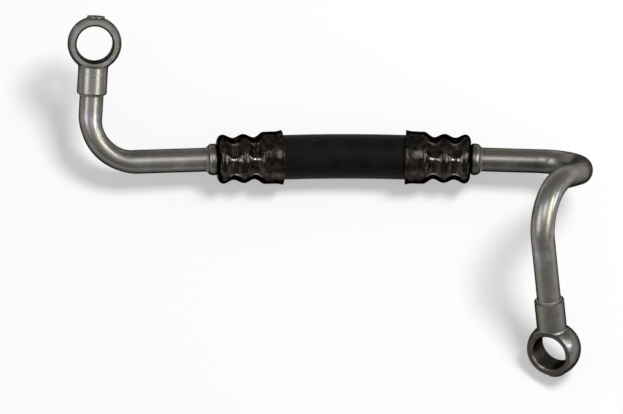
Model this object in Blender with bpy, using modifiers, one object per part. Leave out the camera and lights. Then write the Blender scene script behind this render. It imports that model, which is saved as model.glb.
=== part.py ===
# Turbo oil feed line: two bent steel pipes with banjo heads, joined by a crimped rubber hose.
# Lengths are in metres and angles in degrees. +X runs along the hose and +Z is up, with the line
# lying on a floor as it comes to rest, on the lips of both ferrules and the edge of one banjo head.
# End A carries the short pipe with one bend, end B the long pipe with two.
import math

import bmesh
import bpy
from mathutils import Matrix, Vector

MM = 0.001

# Fits
FIT_GAP = 0.25 * MM  # between pieces that touch or are squeezed together
SEAT_GAP = 0.3 * MM  # between faces that butt

# Steel pipe
PIPE_D = 8.0 * MM
PIPE_WALL = 1.2 * MM
BEND_RADIUS = 15.0 * MM  # to the middle of the pipe
BEND_FLATTENING = 0.09  # share of the diameter lost across the bend
BEND_WIDENING = 0.035  # share gained at right angles to it
OVAL_RUN_IN_ANGLE = 20.0  # a bend is fully oval this far in from each end

# Pipe A, from the stem's collar to the middle of banjo head A
PIPE_A_STRAIGHT = 23.9 * MM
PIPE_A_ROLL_ANGLE = 110.1
PIPE_A_BEND_ANGLE = 94.3
PIPE_A_REACH = 24.0 * MM
BANJO_A_ROLL_ANGLE = -94.9

# Pipe B, from the stem's collar to the middle of banjo head B
PIPE_B_STRAIGHT = 18.7 * MM
PIPE_B_ROLL_ANGLE = -16.7
PIPE_B_BEND_ANGLE = 118.9
PIPE_B_LINK = 7.3 * MM
PIPE_B_SECOND_ROLL_ANGLE = 88.9
PIPE_B_SECOND_BEND_ANGLE = 106.9
PIPE_B_REACH = 40.2 * MM
BANJO_B_ROLL_ANGLE = 177.7

# Banjo head, turned with its neck from one bar
BANJO_BORE = 12.0 * MM  # clears an M12 banjo bolt
BANJO_WALL = 3.0 * MM
BALL_D = BANJO_BORE + 2 * BANJO_WALL
BANJO_WIDTH = 8.6 * MM  # between the two sealing faces
FACING_MARGIN = 0.7 * MM  # from the cut that makes each sealing face to the outside of the ball
FACING_D = BALL_D - 2 * FACING_MARGIN
BORE_CHAMFER = 0.5 * MM
NECK_WALL = 0.75 * MM
NECK_D = PIPE_D + 2 * (FIT_GAP + NECK_WALL)
NECK_LENGTH = 7.6 * MM  # that the neck stands out of the ball
NECK_REACH = BALL_D / 2 + NECK_LENGTH  # from the middle of the bore to the neck's rim
NECK_CHAMFER = 0.4 * MM
NECK_FILLET = 1.2 * MM  # where the neck runs into the ball
SOCKET_FLOOR = 2.6 * MM  # left between the bore and the pipe's socket
SOCKET_DEPTH = NECK_REACH - BANJO_BORE / 2 - SOCKET_FLOOR
OILWAY_D = 5.0 * MM
NUB_D = 5.9 * MM  # left where the bar was parted off
NUB_HEIGHT = 0.15 * MM

# Reinforced hose, a liner and a cover with a wire braid between them
HOSE_BORE = 6.4 * MM
LINER_WALL = 1.0 * MM
LINER_D = HOSE_BORE + 2 * LINER_WALL
BRAID_WALL = 0.45 * MM
BRAID_D = LINER_D + 2 * (FIT_GAP + BRAID_WALL)
COVER_WALL = 2.3 * MM
HOSE_D = BRAID_D + 2 * (FIT_GAP + COVER_WALL)
HOSE_CUT_GAP = 0.4 * MM  # from the cut end of the hose to the stem's shoulder
HOSE_FREE_LENGTH = 41.2 * MM  # between the lips of the two ferrules
HOSE_BOW_ANGLE = 7.8  # how far the free hose turns

# Ferrule, squeezed on by a press with eight dies
FERRULE_LENGTH = 21.6 * MM
FERRULE_WALL = 1.05 * MM  # before the press, which thickens it as it squeezes it in
FERRULE_END_WALL = 1.3 * MM
BODY_D = HOSE_D + 2 * (FIT_GAP + FERRULE_WALL)  # left as it was before the press
LIP_FLARE = 0.4 * MM
LIP_D = BODY_D + 2 * LIP_FLARE
LIP_WIDTH = 1.1 * MM
LAND_SQUEEZE = 0.23  # share of the cover's wall taken up between and after the two crimps
LAND_D = BODY_D - 2 * LAND_SQUEEZE * COVER_WALL
CRIMP_SQUEEZE = 0.74  # share taken up under the ridges that stand between the dies
CRIMP_D = BODY_D - 2 * CRIMP_SQUEEZE * COVER_WALL
CRIMP_PITCH = 7.0 * MM
FIRST_CRIMP = 9.45 * MM  # from the lip to the middle of the nearer crimp
DIE_COUNT = 8
PAD_DEPTH = 0.5 * MM  # of the flat under each die, below its ridges
DIE_TURN_ANGLE = 22.5  # first ridge, round from the ferrule's own X
END_ROUND = 1.3 * MM

# Stem that the hose is pushed on
COLLAR_WALL = 1.2 * MM
COLLAR_D = PIPE_D + 2 * (FIT_GAP + COLLAR_WALL)
COLLAR_LENGTH = 3.2 * MM
COLLAR_ROUND = 0.9 * MM
STEM_NECK_WALL = 0.65 * MM
STEM_NECK_D = PIPE_D + 2 * (FIT_GAP + STEM_NECK_WALL)
STEM_SHOULDER_STEP = 0.8 * MM
STEM_SHOULDER_D = STEM_NECK_D + 2 * STEM_SHOULDER_STEP
STEM_SHOULDER_LENGTH = 1.0 * MM
STEM_SOCKET_DEPTH = 5.0 * MM
STEM_TAIL_LENGTH = 17.0 * MM
BARB_PITCH = 4.0 * MM
BARB_DEPTH = 0.35 * MM
BARB_CREST_D = HOSE_BORE - 2 * FIT_GAP
BARB_ROOT_D = BARB_CREST_D - 2 * BARB_DEPTH
STEM_WALL = 0.5 * MM
STEM_BORE = BARB_ROOT_D - 2 * STEM_WALL

# Braze fillets
BRAZE_LENGTH = 1.9 * MM
BRAZE_HEIGHT = 0.75 * MM

# Fineness of the round surfaces
TURNED_STEPS = 32
SMALL_TURNED_STEPS = 20
SWEPT_SIDES = 18
BEND_STEP_ANGLE = 10.0
BALL_STEPS = 10
FILLET_STEPS = 2
CRIMP_STEPS = 3
BOW_STEPS = 4


# Colours and finishes
def linear(channel):
    if channel <= 0.04045:
        return channel / 12.92
    return ((channel + 0.055) / 1.055) ** 2.4


def make_material(name, hex_colour, metallic, roughness):
    channels = [int(hex_colour[i:i + 2], 16) / 255 for i in (0, 2, 4)]
    material = bpy.data.materials.new(name)
    material.use_nodes = True
    shader = material.node_tree.nodes["Principled BSDF"]
    shader.inputs["Base Color"].default_value = [linear(channel) for channel in channels] + [1.0]
    shader.inputs["Metallic"].default_value = metallic
    shader.inputs["Roughness"].default_value = roughness
    material.diffuse_color = shader.inputs["Base Color"].default_value
    return material


# Frames along the line: +Z points ahead and a bend turns towards +X
def advance(frame, length):
    return frame @ Matrix.Translation((0, 0, length))


def roll(frame, degrees):
    return frame @ Matrix.Rotation(math.radians(degrees), 4, "Z")


def bend(frame, degrees, radius):
    centre = Matrix.Translation((radius, 0, 0))
    turn = Matrix.Rotation(math.radians(degrees), 4, "Y")
    return frame @ centre @ turn @ centre.inverted()


# A station is a frame and how oval the pipe is there, from 0 to 1
def bend_stations(frame, degrees, radius):
    steps = math.ceil(degrees / BEND_STEP_ANGLE)
    stations = []
    for step in range(steps + 1):
        angle = degrees * step / steps
        ease = min(1.0, angle / OVAL_RUN_IN_ANGLE, (degrees - angle) / OVAL_RUN_IN_ANGLE)
        stations.append((bend(frame, angle, radius), ease))
    return stations


# Modelling tools
def link(name, mesh, collection):
    piece = bpy.data.objects.new(name, mesh)
    collection.objects.link(piece)
    return piece


def bake(piece):
    bpy.context.view_layer.update()
    evaluated = piece.evaluated_get(bpy.context.evaluated_depsgraph_get())
    mesh = bpy.data.meshes.new_from_object(evaluated)
    piece.modifiers.clear()
    piece.data = mesh
    mesh.name = piece.name
    return piece


def turned(name, profile, collection, closed=False, steps=TURNED_STEPS):
    # The profile holds (radius, height) points, down the outside and, if it is a ring, up the inside
    mesh = bpy.data.meshes.new(name)
    edges = [(i, i + 1) for i in range(len(profile) - 1)]
    if closed:
        edges.append((len(profile) - 1, 0))
    mesh.from_pydata([(radius, 0, height) for radius, height in profile], edges, [])
    piece = link(name, mesh, collection)
    screw = piece.modifiers.new("Turn", "SCREW")
    screw.steps = steps
    screw.render_steps = steps
    screw.use_merge_vertices = True
    screw.merge_threshold = 0.00001
    return bake(piece)


def swept(name, frames, radii, collection, capped=True):
    curve = bpy.data.curves.new(name, "CURVE")
    curve.dimensions = "3D"
    curve.bevel_depth = 1.0
    curve.bevel_resolution = (SWEPT_SIDES - 4) // 2
    curve.use_fill_caps = capped
    spline = curve.splines.new("POLY")
    spline.points.add(len(frames) - 1)
    for point, frame, radius in zip(spline.points, frames, radii):
        point.co = (*frame.translation, 1.0)
        point.radius = radius
    wire = link(name + "_wire", curve, collection)
    bpy.context.view_layer.update()
    evaluated = wire.evaluated_get(bpy.context.evaluated_depsgraph_get())
    mesh = bpy.data.meshes.new_from_object(evaluated)
    bpy.data.objects.remove(wire)
    shape = bmesh.new()
    shape.from_mesh(mesh)
    bmesh.ops.remove_doubles(shape, verts=shape.verts, dist=0.000001)
    shape.to_mesh(mesh)
    shape.free()
    return link(name, mesh, collection)


def cut(piece, cutter):
    cutter.hide_render = True
    cutter.display_type = "WIRE"
    boolean = piece.modifiers.new("Cut", "BOOLEAN")
    boolean.operation = "DIFFERENCE"
    boolean.solver = "EXACT"
    boolean.object = cutter
    bake(piece)
    bpy.data.objects.remove(cutter)
    return piece


def finish(piece, material, root, frame=None):
    mesh = piece.data
    mesh.materials.clear()
    mesh.materials.append(material)
    mesh.shade_smooth()
    mesh.set_sharp_from_angle(angle=math.radians(32))
    piece.parent = root
    if frame is not None:
        piece.matrix_basis = frame
    return piece


# Ferrule outline, measured from its lip
def ferrule_heights():
    heights = [0.0, LIP_WIDTH / 2, LIP_WIDTH]
    start = FIRST_CRIMP - CRIMP_PITCH / 2
    for half_pitch in range(4):
        for step in range(CRIMP_STEPS):
            heights.append(start + CRIMP_PITCH / 2 * (half_pitch + step / CRIMP_STEPS))
    heights.append(start + CRIMP_PITCH * 2)
    return heights


def crimp_share(height):
    # 0 on a land, 1 in the middle of a crimp
    start = FIRST_CRIMP - CRIMP_PITCH / 2
    return (1 - math.cos(2 * math.pi * max(0.0, height - start) / CRIMP_PITCH)) / 2


def ferrule_radius(height):
    if height < LIP_WIDTH * 0.9:
        return LIP_D / 2
    top = BODY_D / 2 if height < FIRST_CRIMP else LAND_D / 2
    return top + (CRIMP_D / 2 - top) * crimp_share(height)


def ferrule_bore(height):
    # The same metal on a smaller round makes a thicker wall
    radius = ferrule_radius(height)
    return radius - FERRULE_WALL * BODY_D / 2 / min(radius, BODY_D / 2)


def hose_radius(height):
    # The cover gives way where the ferrule is squeezed in
    return min(HOSE_D / 2, ferrule_bore(height) - FIT_GAP)


def hose_end():
    # Where the hose is cut off inside the ferrule, short of the stem's shoulder
    shoulder = FERRULE_LENGTH - FERRULE_END_WALL - SEAT_GAP - STEM_SHOULDER_LENGTH
    return shoulder - HOSE_CUT_GAP


def make_ferrule(name, material, collection, root, frame):
    heights = ferrule_heights()
    crest = heights[-1]
    end = FERRULE_LENGTH
    end_radius = LAND_D / 2 - END_ROUND
    outer = [(end_radius, end)]
    for step in range(1, CRIMP_STEPS + 1):
        angle = math.pi / 2 * step / CRIMP_STEPS
        outer.append((end_radius + END_ROUND * math.sin(angle),
                      crest + (end - crest) * math.cos(angle)))
    outer += [(ferrule_radius(height), height) for height in reversed(heights[:-1])]
    floor = end - FERRULE_END_WALL
    inner = [(ferrule_bore(height), height) for height in heights[:-1]]
    hole = STEM_NECK_D / 2 + FIT_GAP
    inner += [(ferrule_bore(heights[-2]), floor), (hole, floor), (hole, end)]
    ferrule = turned(name, outer + inner, collection, closed=True)
    press_dies(ferrule.data)
    return finish(ferrule, material, root, frame)


def press_dies(mesh):
    # Each die leaves a flat across the crimp, and the metal between two dies stays up as a ridge
    die_angle = 2 * math.pi / DIE_COUNT
    for vertex in mesh.vertices:
        radius = math.hypot(vertex.co.x, vertex.co.y)
        height = vertex.co.z
        if abs(radius - ferrule_radius(height)) > FERRULE_WALL / 4:
            continue
        share = crimp_share(height)
        turn = math.atan2(vertex.co.y, vertex.co.x) - math.radians(DIE_TURN_ANGLE)
        from_pad = (turn % die_angle) - die_angle / 2
        flat = (radius - PAD_DEPTH * share) / math.cos(from_pad)
        scale = min(radius, flat) / radius
        vertex.co.x *= scale
        vertex.co.y *= scale


# Stem with its barbs, measured from the ferrule's lip like the ferrule
def make_stem(name, material, collection, root, frame):
    neck = STEM_NECK_D / 2
    collar_foot = FERRULE_LENGTH + SEAT_GAP
    collar_top = collar_foot + COLLAR_LENGTH
    shoulder_top = FERRULE_LENGTH - FERRULE_END_WALL - SEAT_GAP
    shoulder_foot = shoulder_top - STEM_SHOULDER_LENGTH
    tail_end = shoulder_foot - STEM_TAIL_LENGTH
    socket = PIPE_D / 2 + FIT_GAP
    profile = [(COLLAR_D / 2 - COLLAR_ROUND, collar_top),
               (COLLAR_D / 2 - COLLAR_ROUND * 0.3, collar_top - COLLAR_ROUND * 0.3),
               (COLLAR_D / 2, collar_top - COLLAR_ROUND),
               (COLLAR_D / 2, collar_foot), (neck, collar_foot), (neck, shoulder_top),
               (STEM_SHOULDER_D / 2, shoulder_top), (STEM_SHOULDER_D / 2, shoulder_foot)]
    crest = BARB_CREST_D / 2
    root_radius = BARB_ROOT_D / 2
    profile.append((root_radius, shoulder_foot))
    barbs = int(STEM_TAIL_LENGTH / BARB_PITCH)
    for barb in range(barbs - 1, -1, -1):
        top = tail_end + BARB_PITCH * (barb + 1)
        profile += [(root_radius, top - BARB_DEPTH), (crest, top - BARB_DEPTH * 2)]
    profile += [(root_radius, tail_end), (STEM_BORE / 2, tail_end),
                (STEM_BORE / 2, collar_top - STEM_SOCKET_DEPTH),
                (socket, collar_top - STEM_SOCKET_DEPTH), (socket, collar_top)]
    stem = turned(name, profile, collection, closed=True, steps=SMALL_TURNED_STEPS)
    return finish(stem, material, root, frame)


# Banjo head, with the middle of its bore at the origin, its neck down -Z and its bore along X
def make_banjo(name, material, collection, cutters, root, frame):
    ball = BALL_D / 2
    nub = NUB_D / 2
    neck = NECK_D / 2
    socket = PIPE_D / 2 + FIT_GAP
    socket_floor = SOCKET_DEPTH - NECK_REACH
    oilway = OILWAY_D / 2
    profile = [(0, ball + NUB_HEIGHT), (nub, ball + NUB_HEIGHT)]
    first = math.asin(nub / ball)
    last = math.pi - math.asin((neck + NECK_FILLET) / (ball + NECK_FILLET))
    for step in range(BALL_STEPS + 1):
        angle = first + (last - first) * step / BALL_STEPS
        profile.append((ball * math.sin(angle), ball * math.cos(angle)))
    fillet_height = (ball + NECK_FILLET) * math.cos(last)
    for step in range(1, FILLET_STEPS + 1):
        angle = last + (math.pi / 2 - last) * step / FILLET_STEPS
        profile.append((neck + NECK_FILLET - NECK_FILLET * math.sin(angle),
                        fillet_height - NECK_FILLET * math.cos(angle)))
    profile += [(neck, NECK_CHAMFER - NECK_REACH), (neck - NECK_CHAMFER, -NECK_REACH),
                (socket, -NECK_REACH), (socket, socket_floor), (oilway, socket_floor),
                (oilway, -BANJO_BORE / 4), (0, -BANJO_BORE / 4)]
    banjo = turned(name, profile, collection)
    face = BANJO_WIDTH / 2
    bore = BANJO_BORE / 2
    half = [(0, BALL_D), (FACING_D / 2, BALL_D), (FACING_D / 2, face),
            (bore + BORE_CHAMFER, face), (bore, face - BORE_CHAMFER)]
    mirrored = [(radius, -height) for radius, height in reversed(half)]
    cutter = turned(name + "_facing", half + mirrored, cutters)
    cutter.matrix_basis = Matrix.Rotation(math.radians(90), 4, "Y")
    cut(banjo, cutter)
    return finish(banjo, material, root, frame)


# Pipe along its stations, oval in the bends
def make_pipe(name, stations, material, collection, root):
    frames = [frame for frame, ease in stations]
    pipe = swept(name, frames, [PIPE_D / 2] * len(frames), collection, capped=False)
    for vertex in pipe.data.vertices:
        frame, ease = min(stations, key=lambda station: (station[0].translation - vertex.co).length)
        local = frame.inverted() @ vertex.co
        local.x *= 1 - BEND_FLATTENING * ease
        local.y *= 1 + BEND_WIDENING * ease
        vertex.co = frame @ local
    wall = pipe.modifiers.new("Wall", "SOLIDIFY")
    wall.thickness = PIPE_WALL
    wall.offset = -1.0
    wall.use_even_offset = True
    bake(pipe)
    return finish(pipe, material, root)


# One layer of the hose, from a bore of even size out to its own radii
def make_layer(name, frames, bore, radii, material, collection, cutters, root):
    layer = swept(name, frames, radii, collection)
    ends = [advance(frames[0], -SEAT_GAP)] + frames[1:-1] + [advance(frames[-1], SEAT_GAP)]
    core = swept(name + "_core", ends, [bore] * len(ends), cutters)
    cut(layer, core)
    return finish(layer, material, root)


# Fillet that runs from a rim at the origin out along the pipe, up +Z
def make_braze(name, material, collection, root, frame):
    inner = PIPE_D / 2 + FIT_GAP / 2
    outer = inner + BRAZE_HEIGHT
    middle = inner + BRAZE_HEIGHT * 0.3
    profile = [(inner + BRAZE_HEIGHT * 0.1, BRAZE_LENGTH), (middle, BRAZE_LENGTH * 0.4),
               (outer, 0), (inner, 0), (inner, BRAZE_LENGTH)]
    braze = turned(name, profile, collection, closed=True, steps=SMALL_TURNED_STEPS)
    return finish(braze, material, root, frame)


# Way up: the plane that touches three rims from below
def lowest_on_rim(centre, axis, radius, up):
    slope = up - axis * up.dot(axis)
    return centre - slope.normalized() * radius


def resting_up(rims, above):
    points = [centre for centre, axis, radius in rims]
    for attempt in range(30):
        up = (points[1] - points[0]).cross(points[2] - points[0]).normalized()
        if up.dot(above - points[0]) < 0:
            up.negate()
        points = [lowest_on_rim(centre, axis, radius, up) for centre, axis, radius in rims]
    return up


def lay_down(root, rims, above, along):
    up = resting_up(rims, above)
    ahead = (along - up * along.dot(up)).normalized()
    side = up.cross(ahead)
    root.matrix_basis = Matrix((ahead, side, up)).to_4x4()
    bpy.context.view_layer.update()
    corners = [piece.matrix_world @ vertex.co for piece in root.children for vertex in piece.data.vertices]
    low = Vector([min(corner[axis] for corner in corners) for axis in range(3)])
    high = Vector([max(corner[axis] for corner in corners) for axis in range(3)])
    middle = (low + high) / 2
    root.location = (-middle.x, -middle.y, -low.z)


# Hose stations, from inside ferrule A to inside ferrule B, each a frame and its height in a ferrule
def hose_stations(ahead, bow_radius, heights):
    lip_a = bend(ahead, -HOSE_BOW_ANGLE / 2, bow_radius)
    lip_b = bend(ahead, HOSE_BOW_ANGLE / 2, bow_radius)
    stations = [(advance(lip_a, -height), height) for height in reversed(heights)]
    for step in range(BOW_STEPS + 1):
        stations.append((bend(ahead, HOSE_BOW_ANGLE * (step / BOW_STEPS - 0.5), bow_radius), 0.0))
    stations += [(advance(lip_b, height), height) for height in heights]
    return stations


def main():
    for old in list(bpy.data.objects):
        bpy.data.objects.remove(old)
    line = bpy.data.collections.new("turbo_oil_feed_line")
    cutters = bpy.data.collections.new("cutters")
    bpy.context.scene.collection.children.link(line)
    bpy.context.scene.collection.children.link(cutters)
    root = bpy.data.objects.new("oil_feed_line_origin", None)
    line.objects.link(root)

    plated = make_material("zinc plated steel", "83817a", 1.0, 0.38)
    turned_steel = make_material("turned plated steel", "8f8b82", 1.0, 0.34)
    black = make_material("black chromate steel", "231f1e", 0.6, 0.3)
    rubber = make_material("black rubber", "1d1d1b", 0.0, 0.6)
    liner_rubber = make_material("liner rubber", "141414", 0.0, 0.5)
    wire = make_material("wire braid", "8c8a86", 1.0, 0.4)
    filler = make_material("braze filler", "a3805c", 1.0, 0.45)

    # The route starts in the middle of the hose and runs out to both ends
    bow_radius = HOSE_FREE_LENGTH / math.radians(HOSE_BOW_ANGLE)
    ahead = Matrix.Rotation(math.radians(90), 4, "Y")
    about = Matrix.Rotation(math.pi, 4, "X")
    lip_a = bend(ahead, -HOSE_BOW_ANGLE / 2, bow_radius) @ about
    lip_b = bend(ahead, HOSE_BOW_ANGLE / 2, bow_radius)
    collar_top = FERRULE_LENGTH + SEAT_GAP + COLLAR_LENGTH
    pipe_start = collar_top - STEM_SOCKET_DEPTH + SEAT_GAP
    pipe_stop = NECK_REACH - SOCKET_DEPTH + SEAT_GAP

    # Route of pipe A
    start_a = roll(advance(lip_a, collar_top + PIPE_A_STRAIGHT), PIPE_A_ROLL_ANGLE)
    bend_a = bend_stations(start_a, PIPE_A_BEND_ANGLE, BEND_RADIUS)
    ring_a = roll(advance(bend_a[-1][0], PIPE_A_REACH), BANJO_A_ROLL_ANGLE)
    stations_a = [(advance(lip_a, pipe_start), 0.0), *bend_a, (advance(ring_a, -pipe_stop), 0.0)]

    # Route of pipe B
    start_b = roll(advance(lip_b, collar_top + PIPE_B_STRAIGHT), PIPE_B_ROLL_ANGLE)
    bend_b = bend_stations(start_b, PIPE_B_BEND_ANGLE, BEND_RADIUS)
    second_b = roll(advance(bend_b[-1][0], PIPE_B_LINK), PIPE_B_SECOND_ROLL_ANGLE)
    bend_c = bend_stations(second_b, PIPE_B_SECOND_BEND_ANGLE, BEND_RADIUS)
    ring_b = roll(advance(bend_c[-1][0], PIPE_B_REACH), BANJO_B_ROLL_ANGLE)
    stations_b = [(advance(lip_b, pipe_start), 0.0), *bend_b, *bend_c, (advance(ring_b, -pipe_stop), 0.0)]

    for end, lip, ring, stations in (("a", lip_a, ring_a, stations_a), ("b", lip_b, ring_b, stations_b)):
        make_banjo("banjo_" + end, turned_steel, line, cutters, root, ring)
        make_pipe("pipe_" + end, stations, plated, line, root)
        make_stem("stem_" + end, turned_steel, line, root, lip)
        make_ferrule("ferrule_" + end, black, line, root, lip)
        make_braze("braze_stem_" + end, filler, line, root, advance(lip, collar_top + SEAT_GAP))
        rim = advance(ring, -NECK_REACH - SEAT_GAP) @ about
        make_braze("braze_banjo_" + end, filler, line, root, rim)

    # Hose layers, from the bore outwards
    bore = HOSE_BORE / 2
    liner = LINER_D / 2
    braid = BRAID_D / 2
    plain = [frame for frame, height in hose_stations(ahead, bow_radius, [hose_end()])]
    make_layer("hose_liner", plain, bore, [liner] * len(plain), liner_rubber, line, cutters, root)
    make_layer("hose_braid", plain, liner + FIT_GAP, [braid] * len(plain), wire, line, cutters, root)
    heights = [h for h in ferrule_heights()[1:] if h < hose_end() - SEAT_GAP] + [hose_end()]
    squeezed = hose_stations(ahead, bow_radius, heights)
    cover_frames = [frame for frame, height in squeezed]
    cover_radii = [hose_radius(height) for frame, height in squeezed]
    make_layer("hose_cover", cover_frames, braid + FIT_GAP, cover_radii, rubber, line, cutters, root)

    # Rest on the two lips and on the edge of banjo B's lower sealing face
    edge = math.sqrt((BALL_D / 2) ** 2 - (BANJO_WIDTH / 2) ** 2)
    face_b = ring_b @ Matrix.Translation((-BANJO_WIDTH / 2, 0, 0))
    rims = [(lip_a.translation, lip_a.col[2].to_3d(), LIP_D / 2),
            (lip_b.translation, lip_b.col[2].to_3d(), LIP_D / 2),
            (face_b.translation, ring_b.col[0].to_3d(), edge)]
    lay_down(root, rims, second_b.translation, lip_b.translation - lip_a.translation)


main()
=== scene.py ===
# Looks of the turbo oil feed line: fine meshes, finishes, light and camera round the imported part
import math

import bmesh
import bpy
from mathutils import Matrix, Vector


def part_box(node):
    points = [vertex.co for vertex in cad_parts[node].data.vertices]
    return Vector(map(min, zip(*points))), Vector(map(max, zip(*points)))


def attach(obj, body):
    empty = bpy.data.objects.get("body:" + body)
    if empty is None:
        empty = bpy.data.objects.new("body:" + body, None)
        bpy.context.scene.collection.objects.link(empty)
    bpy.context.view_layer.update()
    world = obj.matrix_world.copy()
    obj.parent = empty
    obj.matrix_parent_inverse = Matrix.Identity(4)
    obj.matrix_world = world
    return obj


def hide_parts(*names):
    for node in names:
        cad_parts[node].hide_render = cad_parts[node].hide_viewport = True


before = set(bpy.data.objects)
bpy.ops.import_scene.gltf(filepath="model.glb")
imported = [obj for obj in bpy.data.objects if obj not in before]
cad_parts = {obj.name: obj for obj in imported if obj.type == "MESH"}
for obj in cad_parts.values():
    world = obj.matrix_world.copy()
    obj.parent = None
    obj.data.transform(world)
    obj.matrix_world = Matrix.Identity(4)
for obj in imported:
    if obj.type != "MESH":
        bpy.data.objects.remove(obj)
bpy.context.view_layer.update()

# The dictionaries give sizes in mm and angles in degrees
mm = 0.001
weldDistance = 0.002


# Frames along the line: +Z points ahead and a bend turns towards +X
def advance(at, length):
    return at @ Matrix.Translation((0, 0, length * mm))


def roll(at, degrees):
    return at @ Matrix.Rotation(math.radians(degrees), 4, "Z")


def bend(at, degrees, radius):
    centre = Matrix.Translation((radius * mm, 0, 0))
    return at @ centre @ Matrix.Rotation(math.radians(degrees), 4, "Y") @ centre.inverted()


# The route of the line, in mm and degrees, from the middle of the hose out to both ends
route = {
    "hoseFreeLength": 41.2,
    "hoseBow": 7.8,
    "collarTop": 25.1,  # from the lip of a ferrule to the pipe's side of the collar
    "bendRadius": 15.0,
    "bendStep": 2.5,
    "straightStep": 1.5,
    "ovalRunIn": 20.0,
    "a": (("straight", 23.9), ("roll", 110.1), ("bend", 94.3), ("straight", 24.0), ("roll", -94.9)),
    "b": (("straight", 18.7), ("roll", -16.7), ("bend", 118.9), ("straight", 7.3), ("roll", 88.9),
          ("bend", 106.9), ("straight", 40.2), ("roll", 177.7)),
}


def followPipe(lip, moves):
    # Gives the stations, each a frame and how oval the pipe is there, and the banjo head's frame
    at = advance(lip, route["collarTop"])
    stations = [(at, 0.0)]
    for move, amount in moves:
        if move == "roll":
            at = roll(at, amount)
        elif move == "straight":
            steps = math.ceil(amount / route["straightStep"])
            stations += [(advance(at, amount * step / steps), 0.0) for step in range(1, steps + 1)]
            at = advance(at, amount)
        else:
            steps = math.ceil(amount / route["bendStep"])
            for step in range(1, steps + 1):
                angle = amount * step / steps
                oval = min(1.0, angle / route["ovalRunIn"], (amount - angle) / route["ovalRunIn"])
                stations.append((bend(at, angle, route["bendRadius"]), oval))
            at = bend(at, amount, route["bendRadius"])
    return stations, at


bowRadius = route["hoseFreeLength"] / math.radians(route["hoseBow"])
hoseMiddle = Matrix.Rotation(math.radians(90), 4, "Y")
lips = {
    "a": bend(hoseMiddle, -route["hoseBow"] / 2, bowRadius) @ Matrix.Rotation(math.pi, 4, "X"),
    "b": bend(hoseMiddle, route["hoseBow"] / 2, bowRadius),
}
stationsA, headA = followPipe(lips["a"], route["a"])
stationsB, headB = followPipe(lips["b"], route["b"])
pipes = {"a": stationsA, "b": stationsB}
heads = {"a": headA, "b": headB}
print("route laid out")


# Rounds and tubes. Each mesh keeps its straight place, in mm with +Z along the piece, for its finish
def meshPiece(name, points, straight, faces):
    mesh = bpy.data.meshes.new(name)
    mesh.from_pydata(points, [], faces)
    keepStraight(mesh, straight)
    shape = bmesh.new()
    shape.from_mesh(mesh)
    bmesh.ops.remove_doubles(shape, verts=shape.verts, dist=weldDistance * mm)
    bmesh.ops.recalc_face_normals(shape, faces=shape.faces)
    shape.to_mesh(mesh)
    shape.free()
    piece = bpy.data.objects.new(name, mesh)
    bpy.context.scene.collection.objects.link(piece)
    return piece


def keepStraight(mesh, straight):
    layer = mesh.attributes.get("straight") or mesh.attributes.new("straight", "FLOAT_VECTOR", "POINT")
    layer.data.foreach_set("vector", [value for point in straight for value in point])


def ringFaces(rings, sides, closed):
    faces = []
    for ring in range(rings if closed else rings - 1):
        below = ring * sides
        above = (ring + 1) % rings * sides
        for side in range(sides):
            beside = (side + 1) % sides
            faces.append((below + side, below + beside, above + beside, above + side))
    return faces


def turned(name, profile, sides, closed=False, shaped=None):
    # The profile holds (radius, height); shaped gives the radius at an angle where it isn't round
    straight = []
    for radius, height in profile:
        for side in range(sides):
            angle = 2 * math.pi * side / sides
            reach = shaped(radius, height, angle) if shaped else radius
            straight.append((reach * math.cos(angle), reach * math.sin(angle), height))
    points = [Vector(point) * mm for point in straight]
    return meshPiece(name, points, straight, ringFaces(len(profile), sides, closed))


def withoutRolls(frames):
    # The frames of a tube's rings, turned so that its sides run along it without a twist
    level = [frames[0]]
    for at in frames[1:]:
        ahead = at.col[2].to_3d()
        across = level[-1].col[0].to_3d()
        across = (across - ahead * across.dot(ahead)).normalized()
        turn = Matrix((across, ahead.cross(across), ahead)).transposed().to_4x4()
        level.append(Matrix.Translation(at.translation) @ turn)
    return level


def tube(name, frames, skins, sides, oval=None):
    # Each skin is a list of radii, one for each frame: the outside, and then the bore
    level = withoutRolls(frames)
    lengths = [0.0]
    for i in range(1, len(frames)):
        lengths.append(lengths[-1] + (frames[i].translation - frames[i - 1].translation).length / mm)
    order = [(skins[0], i) for i in range(len(frames))]
    order += [(skins[1], i) for i in reversed(range(len(frames)))]
    points = []
    straight = []
    for radii, i in order:
        for side in range(sides):
            angle = 2 * math.pi * side / sides
            ring = Vector((math.cos(angle), math.sin(angle), 0)) * radii[i]
            point = level[i] @ (ring * mm)
            straight.append((ring.x, ring.y, lengths[i]))
            points.append(oval(i, point) if oval else point)
    return meshPiece(name, points, straight, ringFaces(len(order), sides, True))


def finish(piece, material, at, node, sharp=30):
    piece.data.transform(lie @ at)
    piece.data.materials.clear()
    piece.data.materials.append(material)
    piece.data.shade_smooth()
    piece.data.set_sharp_from_angle(angle=math.radians(sharp))
    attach(piece, "root")
    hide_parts(node)
    print("made", piece.name)


# Colours and nodes
def linear(hexColour):
    # Turns an sRGB colour to the linear values that Blender works in
    channels = [int(hexColour[i:i + 2], 16) / 255 for i in (1, 3, 5)]
    return [c / 12.92 if c <= 0.04045 else ((c + 0.055) / 1.055) ** 2.4 for c in channels] + [1.0]


def addNode(material, kind, inputs=None, **settings):
    # An input goes by its name or number, and its value is a number, a colour or the socket that feeds
    # it. In a colour mix, 6 and 7 are the colours A and B, and output 2 is the result
    node = material.node_tree.nodes.new(kind)
    for name, value in settings.items():
        setattr(node, name, value)
    for name, value in (inputs or {}).items():
        if isinstance(value, bpy.types.NodeSocket):
            material.node_tree.links.new(value, node.inputs[name])
        else:
            node.inputs[name].default_value = value
    return node


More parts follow.
